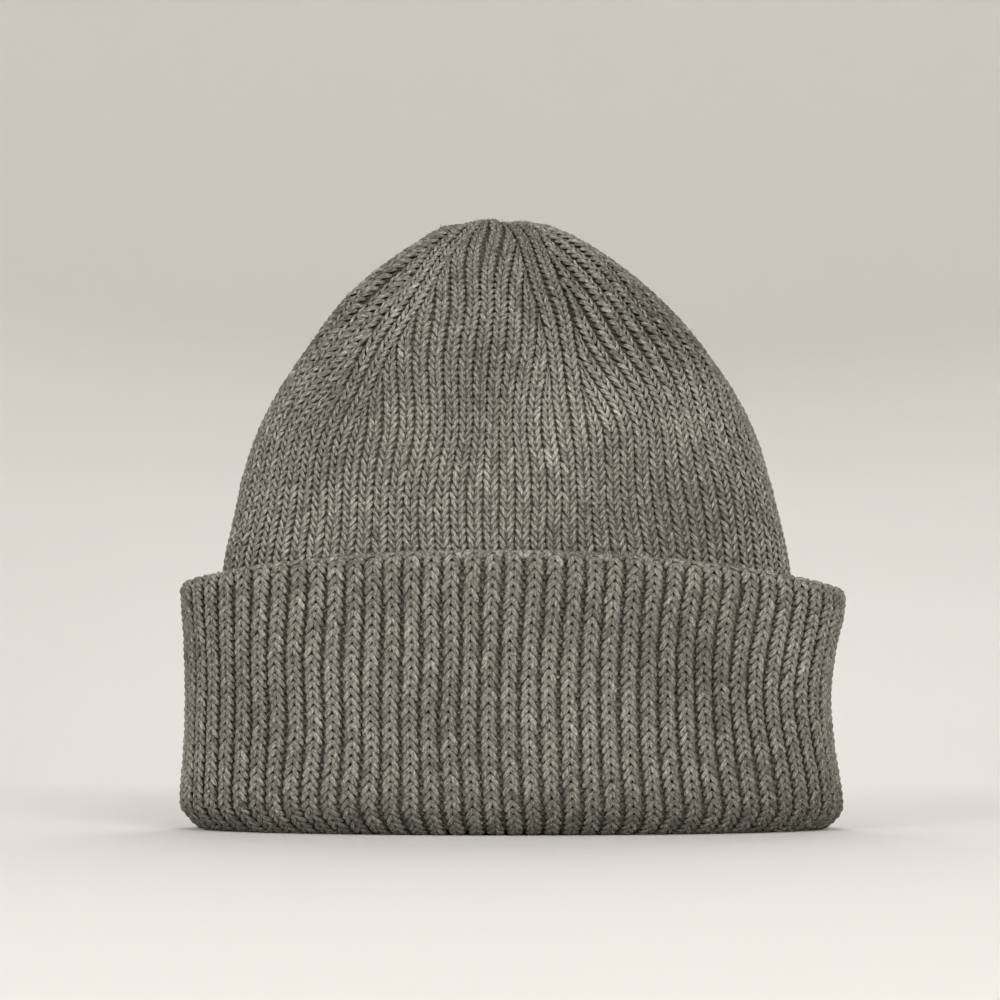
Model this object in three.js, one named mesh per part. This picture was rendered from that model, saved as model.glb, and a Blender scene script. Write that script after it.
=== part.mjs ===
// A ribbed wool hat that stands on its fold: a tapered crown, closed at the top,
// with a deep cuff turned up around its foot. Millimetres, +Z up, front facing -Y.
// The origin is on the floor, under the middle of the hat.
import * as THREE from "three";

// The knitting
const PANELS = 5; // wedges of the crown, each losing ribs along its left edge
const RIBS_PER_PANEL = 16;
const RIBS = PANELS * RIBS_PER_PANEL;
const CENTRE_SQUEEZE = 0.1; // ribs are this much closer at the front and back than on average
const FIRST_SEAM = 4.5 / RIBS; // the first seam's share of the girth from the front: it is in a groove
const DECREASES_START = 120; // height above which the crown loses ribs
const NARROWEST_RIB = 0.72; // a rib's width at the top, as a share of its width where decreases start
const CUT_MARGIN = 0.3; // a rib ends this far, in ribs, before the seam that cuts it

// The cloth
const CROWN_WALL = 4;
const CROWN_GROOVE = 1.1; // depth of the grooves between the crown's ribs
const CUFF_GROOVE = 1.7;

// The rim of the cuff
const RIM_HEIGHT = 85.4;
const RIM_DIP = 4.0; // how far it stands above that height at the front, and below it at the sides
const RIM_TILT = 1.3; // how much lower it is at the right side, and higher at the left

// The drawn-in top of the crown
const DIMPLE = 1.6; // how far the closed centre lies below the last section

// Outer surface of the crown, along the tops of its ribs, from its foot to the gathered top.
// Each row is one section: its height, half its width and depth, how far it leans to one side,
// and how deep the gathers pull it down at the seams.
const CROWN_SECTIONS = [
  { z: 6.5, halfX: 99.6, halfY: 49.0, lean: -0.7, pull: 0 },
  { z: 30.0, halfX: 99.3, halfY: 50.6, lean: -1.2, pull: 0 },
  { z: 60.0, halfX: 98.4, halfY: 51.6, lean: -1.8, pull: 0 },
  { z: 87.0, halfX: 96.4, halfY: 52.0, lean: -2.2, pull: 0 },
  { z: 104.0, halfX: 93.1, halfY: 52.0, lean: -2.2, pull: 0 },
  { z: 118.0, halfX: 90.0, halfY: 51.6, lean: -2.4, pull: 0 },
  { z: 131.5, halfX: 86.0, halfY: 50.2, lean: -2.4, pull: 0 },
  { z: 145.0, halfX: 79.9, halfY: 47.6, lean: -2.4, pull: 0 },
  { z: 158.5, halfX: 71.6, halfY: 44.0, lean: -2.6, pull: 0 },
  { z: 170.0, halfX: 63.4, halfY: 39.8, lean: -2.9, pull: 0 },
  { z: 180.0, halfX: 54.8, halfY: 35.2, lean: -3.7, pull: 0 },
  { z: 188.0, halfX: 46.3, halfY: 30.6, lean: -4.0, pull: 0 },
  { z: 194.6, halfX: 37.6, halfY: 25.8, lean: -4.0, pull: 0 },
  { z: 200.0, halfX: 29.2, halfY: 20.8, lean: -4.1, pull: 0.3 },
  { z: 203.8, halfX: 21.8, halfY: 16.0, lean: -4.5, pull: 0.8 },
  { z: 206.2, halfX: 13.4, halfY: 10.2, lean: -5.4, pull: 1.3 },
];

// The cuff's wall, once round: up its outer face, over the rim, down inside and round the fold.
// ribs is the share of the full groove depth, and rise is how far a row follows the rim's line.
const CUFF_SECTIONS = [
  { z: 0.0, halfX: 104.2, halfY: 53.0, lean: 0.0, ribs: 0.3, rise: 0.0 },
  { z: 2.4, halfX: 107.6, halfY: 56.8, lean: 0.0, ribs: 0.8, rise: 0.0 },
  { z: 5.8, halfX: 110.4, halfY: 59.2, lean: -0.3, ribs: 1.0, rise: 0.0 },
  { z: 10.5, halfX: 111.2, halfY: 60.0, lean: -0.7, ribs: 1.0, rise: 0.0 },
  { z: 29.5, halfX: 109.5, halfY: 58.8, lean: -1.4, ribs: 1.0, rise: 0.1 },
  { z: 46.4, halfX: 109.0, halfY: 58.0, lean: -1.7, ribs: 1.0, rise: 0.3 },
  { z: 63.4, halfX: 110.4, halfY: 58.2, lean: -1.0, ribs: 1.0, rise: 0.6 },
  { z: 76.0, halfX: 112.2, halfY: 58.8, lean: -0.1, ribs: 1.0, rise: 0.9 },
  { z: RIM_HEIGHT - 2.2, halfX: 112.5, halfY: 58.8, lean: 0.0, ribs: 0.8, rise: 1.0 },
  { z: RIM_HEIGHT, halfX: 110.5, halfY: 57.0, lean: 0.0, ribs: 0.4, rise: 1.0 },
  { z: RIM_HEIGHT - 1.6, halfX: 107.8, halfY: 54.8, lean: 0.0, ribs: 0.0, rise: 1.0 },
  { z: 60.0, halfX: 105.2, halfY: 53.4, lean: -1.0, ribs: 0.0, rise: 0.6 },
  { z: 10.0, halfX: 105.6, halfY: 54.2, lean: -0.7, ribs: 0.0, rise: 0.0 },
  { z: 6.2, halfX: 102.8, halfY: 52.0, lean: -0.7, ribs: 0.0, rise: 0.0 },
  { z: 6.2, halfX: 95.8, halfY: 45.2, lean: -0.7, ribs: 0.0, rise: 0.0 },
  { z: 2.4, halfX: 96.8, halfY: 46.0, lean: -0.7, ribs: 0.0, rise: 0.0 },
  { z: 0.0, halfX: 100.2, halfY: 48.8, lean: -0.3, ribs: 0.0, rise: 0.0 },
];

// Where a share of the girth lies on an oval, as an angle from the front.
// Shares are counted in ribs, which are closer together at the front and back than at the sides.
class Girth {
  static STEPS = 720;

  constructor(halfX, halfY) {
    this.ribTotal = [0];
    this.length = 0;
    const step = (2 * Math.PI) / Girth.STEPS;
    for (let i = 0; i < Girth.STEPS; i++) {
      const angle = (i + 0.5) * step;
      const arc = Math.hypot(halfX * Math.cos(angle), halfY * Math.sin(angle)) * step;
      this.length += arc;
      this.ribTotal.push(this.ribTotal[i] + arc / (1 - CENTRE_SQUEEZE * Math.cos(2 * angle)));
    }
  }

  angleAt(share) {
    const turns = Math.floor(share);
    const wanted = (share - turns) * this.ribTotal[Girth.STEPS];
    let low = 0;
    let high = Girth.STEPS;
    while (high - low > 1) {
      const middle = (low + high) >> 1;
      if (this.ribTotal[middle] <= wanted) low = middle;
      else high = middle;
    }
    const part = (wanted - this.ribTotal[low]) / (this.ribTotal[high] - this.ribTotal[low]);
    return (turns + (low + part) / Girth.STEPS) * 2 * Math.PI;
  }
}

// A column of the knitting where it crosses one section: its share of the girth, and how deep it lies.
const rib = (share) => ({ share, depth: 0 });
const groove = (share) => ({ share, depth: 1 });

// All the ribs, evenly shared out, with the groove that follows each.
function fullColumns() {
  const columns = [];
  for (let i = 0; i < RIBS; i++) {
    columns.push(rib(i / RIBS));
    columns.push(groove((i + 0.5) / RIBS));
  }
  return columns;
}

// The smooth inner face has no ribs and half as many columns.
function smoothColumns() {
  return Array.from({ length: RIBS }, (_, i) => rib(i / RIBS));
}

// The ribs that are left at a height in the decreases. A panel's ribs keep their width and run
// alongside its right seam, so the ones furthest from that seam end at the panel's left seam.
function decreasedColumns(panelInRibs) {
  const columns = [];
  for (let panel = 0; panel < PANELS; panel++) {
    const seam = FIRST_SEAM + panel / PANELS;
    const share = (ribs) => seam - ribs / panelInRibs / PANELS;
    columns.push(groove(share(0)));
    for (let ribs = 0.5; ribs < panelInRibs - CUT_MARGIN; ribs += 1) {
      columns.push(rib(share(ribs)));
      if (ribs + 0.5 < panelInRibs - CUT_MARGIN) columns.push(groove(share(ribs + 0.5)));
    }
  }
  return columns;
}

// A direction across the wall, as its outward and upward parts.
const OUTWARD = new THREE.Vector2(1, 0);

// The direction square to the section curve at a row.
function slopeNormal(sections, row) {
  const mean = (s) => (s.halfX + s.halfY) / 2;
  const before = sections[Math.max(row - 1, 0)];
  const after = sections[Math.min(row + 1, sections.length - 1)];
  const normal = new THREE.Vector2(after.z - before.z, mean(before) - mean(after));
  return normal.normalize();
}

// One section as a ring of points, in order round the hat, each with its share of the girth.
function ring(section, columns, normal, grooveDepth, inset = 0) {
  const girth = new Girth(section.halfX, section.halfY);
  const points = columns.map(({ share, depth }) => {
    const angle = girth.angleAt(share);
    const sunk = inset + depth * grooveDepth;
    const rimLine = RIM_DIP * Math.cos(2 * angle) - RIM_TILT * Math.sin(angle);
    const atSeam = (1 + Math.cos(2 * Math.PI * PANELS * (share - FIRST_SEAM))) / 2;
    const rise = (section.rise ?? 0) * rimLine - (section.pull ?? 0) * atSeam;
    return {
      share: share - Math.floor(share),
      at: new THREE.Vector3(
        section.lean + (section.halfX - sunk * normal.x) * Math.sin(angle),
        -(section.halfY - sunk * normal.x) * Math.cos(angle),
        section.z + rise - sunk * normal.y,
      ),
    };
  });
  return points.sort((a, b) => a.share - b.share);
}

// Collects triangles between rings and makes them a geometry.
class Skin {
  constructor() {
    this.corners = [];
  }

  triangle(a, b, c) {
    this.corners.push(...a.toArray(), ...b.toArray(), ...c.toArray());
  }

  // Joins two rings, which may have different numbers of points, going up the outer face.
  join(lower, upper) {
    const shareOf = (points, i) => points[i % points.length].share + Math.floor(i / points.length);
    const pointOf = (points, i) => points[i % points.length].at;
    let i = 0;
    let j = 0;
    while (i < lower.length || j < upper.length) {
      const stepLower =
        j >= upper.length || (i < lower.length && shareOf(lower, i + 1) <= shareOf(upper, j + 1));
      if (stepLower) {
        this.triangle(pointOf(lower, i), pointOf(lower, i + 1), pointOf(upper, j));
        i++;
      } else {
        this.triangle(pointOf(lower, i), pointOf(upper, j + 1), pointOf(upper, j));
        j++;
      }
    }
  }

  // Closes a ring with a fan to one point, which lies above it on the outer face.
  close(points, apex, isOuter) {
    points.forEach(({ at }, i) => {
      const next = points[(i + 1) % points.length].at;
      if (isOuter) this.triangle(at, next, apex);
      else this.triangle(next, at, apex);
    });
  }

  geometry() {
    const made = new THREE.BufferGeometry();
    made.setAttribute("position", new THREE.Float32BufferAttribute(this.corners, 3));
    made.computeVertexNormals();
    return made;
  }
}

// The crown's outer face narrows by losing ribs above the height where the decreases start.
function crownColumns(section) {
  const widest = CROWN_SECTIONS.findLast((s) => s.z <= DECREASES_START);
  if (section.z <= widest.z) return fullColumns();
  const girthOf = (s) => new Girth(s.halfX, s.halfY).length;
  const up = (section.z - widest.z) / (CROWN_SECTIONS.at(-1).z - widest.z);
  const ribWidth = 1 - (1 - NARROWEST_RIB) * up ** 2;
  return decreasedColumns((RIBS_PER_PANEL * girthOf(section)) / girthOf(widest) / ribWidth);
}

// A hollow shell, open at its foot: the ribbed outer face going up, then the smooth inner face.
function crownGeometry() {
  const skin = new Skin();
  const normals = CROWN_SECTIONS.map((_, row) => slopeNormal(CROWN_SECTIONS, row));
  normals[0] = OUTWARD; // the foot is cut level
  const outer = CROWN_SECTIONS.map((section, row) =>
    ring(section, crownColumns(section), normals[row], CROWN_GROOVE),
  );
  const inner = CROWN_SECTIONS.map((section, row) =>
    ring(section, smoothColumns(), normals[row], 0, CROWN_WALL),
  );
  for (let row = 1; row < CROWN_SECTIONS.length; row++) {
    skin.join(outer[row - 1], outer[row]);
    skin.join(inner[row], inner[row - 1]);
  }
  skin.join(inner[0], outer[0]);
  const last = CROWN_SECTIONS.at(-1);
  const centre = new THREE.Vector3(last.lean, 0, last.z - DIMPLE);
  skin.close(outer.at(-1), centre, true);
  skin.close(inner.at(-1), centre.clone().setZ(centre.z - CROWN_WALL), false);
  return skin.geometry();
}

// A closed band: each row of its table joined to the next, and the last to the first.
function cuffGeometry() {
  const skin = new Skin();
  const rows = CUFF_SECTIONS.map((section) => {
    const columns = section.ribs > 0 ? fullColumns() : smoothColumns();
    return ring(section, columns, OUTWARD, CUFF_GROOVE * section.ribs);
  });
  rows.forEach((row, i) => skin.join(row, rows[(i + 1) % rows.length]));
  return skin.geometry();
}

const wool = (color) => new THREE.MeshStandardMaterial({ color, roughness: 0.95, metalness: 0 });

const crown = new THREE.Mesh(crownGeometry(), wool(0x75736b));
crown.name = "crown";

const cuff = new THREE.Mesh(cuffGeometry(), wool(0x6c685e));
cuff.name = "cuff";

const hat = new THREE.Group();
hat.add(crown, cuff);

export default hat;
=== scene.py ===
"""A rib-knitted wool hat, stitch by stitch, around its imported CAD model.

The hat is one tube of knitting. Horizontal oval sections, in millimetres, describe its surface,
and every stitch is a pair of yarn grains laid along the ribs of that surface.
"""

import logging
import math
from collections.abc import Callable, Mapping, Sequence
from dataclasses import astuple, dataclass, field, replace
from enum import Enum
from typing import Any

import bmesh
import bpy
import numpy as np
from mathutils import Matrix, Vector


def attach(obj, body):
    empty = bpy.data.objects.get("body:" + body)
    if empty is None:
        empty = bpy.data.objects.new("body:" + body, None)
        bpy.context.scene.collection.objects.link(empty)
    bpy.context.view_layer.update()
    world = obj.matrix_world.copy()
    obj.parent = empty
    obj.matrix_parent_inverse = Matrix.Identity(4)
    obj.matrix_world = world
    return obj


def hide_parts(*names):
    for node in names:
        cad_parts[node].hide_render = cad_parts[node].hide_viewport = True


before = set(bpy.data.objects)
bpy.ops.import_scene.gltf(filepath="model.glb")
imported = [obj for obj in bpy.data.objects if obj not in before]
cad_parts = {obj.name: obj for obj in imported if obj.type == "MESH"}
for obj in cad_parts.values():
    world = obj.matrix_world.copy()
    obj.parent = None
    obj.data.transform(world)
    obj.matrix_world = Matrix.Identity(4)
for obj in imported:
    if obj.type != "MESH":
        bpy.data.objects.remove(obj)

LOG = logging.getLogger("hat")
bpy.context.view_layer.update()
MM = 0.001
FULL_TURN = 2 * math.pi
LOWEST_YARN = 0.05  # millimetres above what the hat stands on

Array = np.ndarray
Material = bpy.types.Material
Piece = bpy.types.Object
Places = Sequence[tuple[float, float, float]]


def linear(hex_colour: str) -> tuple[float, float, float, float]:
    """Turns an sRGB hex colour into the linear one that Blender's sockets take.

    Args:
        hex_colour: The colour as "#RRGGBB".

    Returns:
        Linear red, green, blue and an alpha of 1.
    """
    values = [int(hex_colour[i : i + 2], 16) / 255 for i in (1, 3, 5)]
    red, green, blue = (v / 12.92 if v <= 0.04045 else ((v + 0.055) / 1.055) ** 2.4 for v in values)
    return red, green, blue, 1.0


def add_node(
    tree: bpy.types.NodeTree,
    kind: str,
    inputs: Mapping[str | int, Any] | Sequence[Any] = (),
    **settings: Any,
) -> bpy.types.Node:
    """Adds a node to a material.

    Args:
        tree: The material's node tree.
        kind: The node's type, without its ShaderNode prefix.
        inputs: Values, output sockets, or nodes for their first output, in the order of the
            node's inputs or by their name or number.
        **settings: The node's own properties.

    Returns:
        The new node.
    """
    made = tree.nodes.new(f"ShaderNode{kind}")
    for name, value in settings.items():
        setattr(made, name, value)
    for name, value in inputs.items() if isinstance(inputs, Mapping) else enumerate(inputs):
        source = value.outputs[0] if isinstance(value, bpy.types.Node) else value
        if isinstance(source, bpy.types.NodeSocket):
            tree.links.new(source, made.inputs[name])
        else:
            made.inputs[name].default_value = source
    return made


def set_ramp(ramp: bpy.types.Node, stops: Sequence[tuple[float, str]]) -> None:
    """Sets a colour ramp.

    Args:
        ramp: The colour ramp node.
        stops: The position and the sRGB hex colour of each stop, in order.
    """
    while len(ramp.color_ramp.elements) < len(stops):
        ramp.color_ramp.elements.new(0.5)
    for element, (position, colour) in zip(ramp.color_ramp.elements, stops):
        element.position = position
        element.color = linear(colour)


def new_material(
    name: str, sockets: Mapping[str, Any]
) -> tuple[Material, bpy.types.NodeTree, Mapping[str, bpy.types.NodeSocket]]:
    """Starts a material from its shader.

    Args:
        name: The material's name.
        sockets: The shader's values that are the same all over.

    Returns:
        The material, its node tree, and the shader's inputs for what varies.
    """
    material = bpy.data.materials.new(name)
    material.use_nodes = True
    tree = material.node_tree
    tree.nodes.clear()
    shader = add_node(tree, "BsdfPrincipled", sockets)
    add_node(tree, "OutputMaterial", {"Surface": shader})
    return material, tree, shader.inputs


def put(name: str, data: bpy.types.ID) -> Piece:
    """Puts an object in the scene.

    Args:
        name: Its name.
        data: Its mesh, lamp or camera.

    Returns:
        The object.
    """
    made = bpy.data.objects.new(name, data)
    bpy.context.scene.collection.objects.link(made)
    return made


def ease(share: Array) -> Array:
    """A smooth step from 0 to 1."""
    return share * share * (3 - 2 * share)


def crest(ribs: Array) -> Array:
    """How high the cloth stands, from 0 in a groove to 1 on a rib, by the count of ribs."""
    return 0.5 - 0.5 * np.cos(FULL_TURN * ribs)


class Turn(Enum):
    """Which way a stitch's V stands on the surface."""

    UPRIGHT = 1
    INVERTED = -1


class Side(Enum):
    """The two grains of a stitch, by the side of the rib they lean to."""

    LEFT = -1
    RIGHT = 1


class Edge(Enum):
    """The lines of a panel."""

    LEFT = "left"
    RIGHT = "right"
    GUIDE = "guide"


@dataclass(frozen=True)
class Section:
    """One horizontal section of the cloth's outer surface, in millimetres.

    pull is how deep the gathers draw it down at the seams, rise how far it follows the rim's
    line, and groove the share of the full depth between the ribs.
    """

    z: float
    half_x: float
    half_y: float
    lean: float = 0.0
    pull: float = 0.0
    rise: float = 0.0
    groove: float = 1.0


@dataclass(frozen=True)
class RimLine:
    """How the free rim of the cuff dips and tilts, in millimetres."""

    dip: float = 4.0
    tilt: float = 1.3

    def height(self, angle: Array) -> Array:
        """The rim's height at each angle, from its mean."""
        return self.dip * np.cos(2 * angle) - self.tilt * np.sin(angle)

    def slope(self, angle: Array) -> Array:
        """How fast that height changes with the angle."""
        return -2 * self.dip * np.sin(2 * angle) - self.tilt * np.cos(angle)


@dataclass
class Surface:
    """The outer face of a stretch of cloth, as a smooth oval surface through its sections.

    A place on it is a share of the ribs round, from the middle of the front towards +X, and the
    distance along the cloth from its first section, measured at the front. squeeze is how much
    closer the ribs stand in front and behind than at the sides, and seams the shares at which
    the gathers draw the cloth down.
    """

    sections: Sequence[Section]
    squeeze: float
    seams: Sequence[float] = ()
    rim: RimLine = RimLine()
    length: float = field(init=False)

    STEPS_PER_SPAN = 24
    SHARES = 360
    SEAM_WIDTH = 0.035  # as a share of the girth
    HEIGHT = 0
    GROOVE = 6

    def __post_init__(self) -> None:
        """Works out the smooth profile and the table of angles."""
        self._rows = self._smooth(np.array([astuple(section) for section in self.sections]))
        step = np.hypot(np.diff(self._rows[:, 0]), np.diff(self._rows[:, 2]))
        self._along = np.concatenate([[0.0], np.cumsum(np.maximum(step, 1e-6))])
        self._slopes = np.gradient(self._rows, self._along, axis=0)
        self.length = float(self._along[-1])
        angles = np.linspace(0, FULL_TURN, 4 * self.SHARES + 1)
        middles = (angles[1:] + angles[:-1]) / 2
        half_x, half_y = self._rows[:, 1:2], self._rows[:, 2:3]
        arcs = np.hypot(half_x * np.cos(middles), half_y * np.sin(middles)) * angles[1]
        self._girths = arcs.sum(axis=1)
        ribs = np.cumsum(arcs / (1 - self.squeeze * np.cos(2 * middles)), axis=1)
        ribs = np.concatenate([np.zeros((len(ribs), 1)), ribs], axis=1) / ribs[:, -1:]
        shares = np.linspace(0, 1, self.SHARES + 1)
        self._angles = np.array([np.interp(shares, row, angles) for row in ribs])

    def _smooth(self, knots: Array) -> Array:
        """Runs a smooth curve through the section table.

        Args:
            knots: One row of sizes for each section.

        Returns:
            The same sizes at closely spaced rows.
        """
        before = np.vstack([2 * knots[0] - knots[1], knots[:-1]])
        after = np.vstack([knots[1:], 2 * knots[-1] - knots[-2]])
        rates = (after - before) / 2
        t = np.linspace(0, 1, self.STEPS_PER_SPAN, endpoint=False)[:, None]
        spans = [
            (2 * t**3 - 3 * t**2 + 1) * knots[i]
            + (t**3 - 2 * t**2 + t) * rates[i]
            + (3 * t**2 - 2 * t**3) * knots[i + 1]
            + (t**3 - t**2) * rates[i + 1]
            for i in range(len(knots) - 1)
        ]
        return np.vstack([*spans, knots[-1:]])

    def girth(self, along: Array | float) -> Array:
        """The distance once round the hat at each place along the cloth, in millimetres."""
        return np.interp(along, self._along, self._girths)

    def size(self, along: Array | float, column: int) -> Array:
        """One of the sections' sizes, by its column, at each place along the cloth."""
        return np.interp(along, self._along, self._rows[:, column])

    def at_height(self, z: float) -> float:
        """How far along the cloth its outer face first reaches a height."""
        return float(self._along[np.argmax(self._rows[:, self.HEIGHT] >= z)])

    def highest(self) -> float:
        """How far along the cloth its highest place is."""
        return float(self._along[np.argmax(self._rows[:, self.HEIGHT])])

    def _angle(self, share: Array, along: Array) -> Array:
        """Looks up the angle from the front.

        Args:
            share: Each place's share of the girth.
            along: How far along the cloth it is.

        Returns:
            The angle in radians.
        """
        turns = np.floor(share)
        column = (share - turns) * self.SHARES
        left = np.minimum(column.astype(int), self.SHARES - 1)
        row = np.interp(along, self._along, np.arange(len(self._along)))
        low = np.minimum(row.astype(int), len(self._along) - 2)
        across, up = column - left, row - low
        table = self._angles
        lower = table[low, left] * (1 - across) + table[low, left + 1] * across
        upper = table[low + 1, left] * (1 - across) + table[low + 1, left + 1] * across
        return FULL_TURN * turns + lower * (1 - up) + upper * up

    def place(self, share: Array, along: Array, out: Array | float = 0.0) -> Array:
        """Finds points on or off the surface.

        Args:
            share: Each point's share of the girth.
            along: How far along the cloth it is, in millimetres.
            out: How far off the surface it is, outwards, in millimetres.

        Returns:
            One row of x, y, z for each point, in millimetres.
        """
        share, along = np.broadcast_arrays(share, along)
        along = np.clip(along, 0, self.length)
        angle = self._angle(share, along)
        z, half_x, half_y, lean, pull, rise = (self.size(along, i) for i in range(6))
        dz, dx, dy, dlean, dpull, drise = (
            np.interp(along, self._along, self._slopes[:, i]) for i in range(6)
        )
        sine, cosine, rim = np.sin(angle), np.cos(angle), self.rim.height(angle)
        drop = sum(np.exp(-(((share - s + 0.5) % 1 - 0.5) / self.SEAM_WIDTH) ** 2) for s in self.seams)
        point = np.stack([lean + half_x * sine, -half_y * cosine, z + rise * rim - pull * drop], axis=-1)
        round_hat = np.stack([half_x * cosine, half_y * sine, rise * self.rim.slope(angle)], axis=-1)
        up_cloth = np.stack([dlean + dx * sine, -dy * cosine, dz + drise * rim - dpull * drop], axis=-1)
        normal = np.cross(round_hat, up_cloth)
        normal /= np.maximum(np.linalg.norm(normal, axis=-1, keepdims=True), 1e-9)
        return point + normal * np.asarray(out)[..., None]


@dataclass
class Sways:
    """Slow, small unevenness of hand-like knitting, as a few fixed waves."""

    seed: int
    waves: int = 7
    most_turns: int = 8
    fastest: float = 0.16

    def __post_init__(self) -> None:
        """Draws the waves."""
        rng = np.random.default_rng(self.seed)
        self._turns = rng.integers(1, self.most_turns + 1, self.waves)
        self._rates = rng.uniform(-self.fastest, self.fastest, self.waves)
        self._phases = rng.uniform(0, FULL_TURN, self.waves)

    def at(self, share: Array, along: Array) -> Array:
        """Finds the unevenness.

        Args:
            share: Each place's share of the girth.
            along: How far along the cloth it is.

        Returns:
            The sway at each place, from about -1 to 1.
        """
        waves = zip(self._turns, self._rates, self._phases)
        swings = (np.sin(FULL_TURN * n * share + rate * along + phase) for n, rate, phase in waves)
        return sum(swings) / math.sqrt(self.waves)


@dataclass(frozen=True)
class Grain:
    """One leg of a stitch: a short, plump, bent length of yarn.

    Distances are in millimetres on cloth with ribs of the nominal pitch and rows. The path runs
    from the foot, deep in the middle of the rib, to the top, under the next stitch.
    """

    pitch: float
    row: float
    radius: float
    path: Places
    girth: Sequence[float] = (0.5, 0.95, 1.0, 0.95, 0.5)
    sides: int = 5
    flatness: float = 0.82

    def build(self, side: Side) -> tuple[Array, Array, list[list[int]]]:
        """Models the grain with bmesh, ring by ring.

        Args:
            side: The side of the rib that the grain leans to.

        Returns:
            Its points, the same points on the straight yarn, and its faces as point numbers.
        """
        shape = bmesh.new()
        straight = shape.verts.layers.float_vector.new("yarn")
        centres = [Vector(place) for place in self.path]
        reach = 0.0
        ring: list[bmesh.types.BMVert] = []
        for i, (centre, share) in enumerate(zip(centres, self.girth)):
            ahead = centres[min(i + 1, len(centres) - 1)] - centres[max(i - 1, 0)]
            across = Vector((0, 0, 1)).cross(ahead).normalized()
            turn = Matrix((across, ahead.cross(across).normalized(), ahead.normalized())).transposed()
            if i:
                reach += (centre - centres[i - 1]).length
            radius = self.radius * share
            made = bmesh.ops.create_circle(shape, segments=self.sides, radius=radius)["verts"]
            for vert in made:
                vert[straight] = Vector((vert.co.x, vert.co.y, reach))
                vert.co.y *= self.flatness
            bmesh.ops.transform(shape, matrix=Matrix.Translation(centre) @ turn.to_4x4(), verts=made)
            if ring:
                edges = [e for e in shape.edges if all(v in made or v in ring for v in e.verts)]
                loops = [e for e in edges if (e.verts[0] in ring) == (e.verts[1] in ring)]
                bmesh.ops.bridge_loops(shape, edges=loops)
            ring = made
        bmesh.ops.holes_fill(shape, edges=shape.edges, sides=self.sides)
        if side is Side.LEFT:
            bmesh.ops.scale(shape, vec=(-1, 1, 1), verts=shape.verts)
        bmesh.ops.recalc_face_normals(shape, faces=shape.faces)
        shape.verts.index_update()
        points = np.array([v.co for v in shape.verts])
        yarn = np.array([v[straight] for v in shape.verts])
        faces = [[v.index for v in f.verts] for f in shape.faces]
        shape.free()
        return points, yarn, faces


@dataclass(frozen=True)
class Batch:
    """Many copies of one small shape, in millimetres.

    points and yarn hold copies by points by three: where each point is, and where it is on the
    straight yarn. shade is how pale each copy is.
    """

    points: Array
    yarn: Array
    shade: Array
    faces: Sequence[Sequence[int]]


def joined_mesh(name: str, batches: Sequence[Batch]) -> Piece:
    """Makes one object of many copies of small shapes.

    Args:
        name: The object's name.
        batches: The copies of each shape.

    Returns:
        The object, smooth-shaded, with its yarn and shade attributes.
    """
    corners, lengths, placed = [], [], 0
    for batch in batches:
        copies, size = batch.points.shape[:2]
        starts = placed + np.arange(copies)[:, None] * size
        corners.append((np.concatenate(batch.faces)[None] + starts).ravel())
        lengths.append(np.tile([len(face) for face in batch.faces], copies))
        placed += copies * size
    corner, length = np.concatenate(corners), np.concatenate(lengths)
    points = np.concatenate([batch.points.reshape(-1, 3) for batch in batches]) * MM
    yarn = np.concatenate([batch.yarn.reshape(-1, 3) for batch in batches])
    shade = np.concatenate([np.repeat(batch.shade, batch.points.shape[1]) for batch in batches])
    mesh = bpy.data.meshes.new(name)
    mesh.vertices.add(placed)
    mesh.vertices.foreach_set("co", points.astype(np.float32).ravel())
    mesh.loops.add(len(corner))
    mesh.loops.foreach_set("vertex_index", corner.astype(np.int32))
    mesh.polygons.add(len(length))
    mesh.polygons.foreach_set("loop_start", (np.cumsum(length) - length).astype(np.int32))
    mesh.update(calc_edges=True)
    mesh.shade_smooth()
    yarn_layer = mesh.attributes.new("yarn", "FLOAT_VECTOR", "POINT")
    yarn_layer.data.foreach_set("vector", yarn.astype(np.float32).ravel())
    shade_layer = mesh.attributes.new("shade", "FLOAT", "POINT")
    shade_layer.data.foreach_set("value", shade.astype(np.float32))
    return put(name, mesh)


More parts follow.
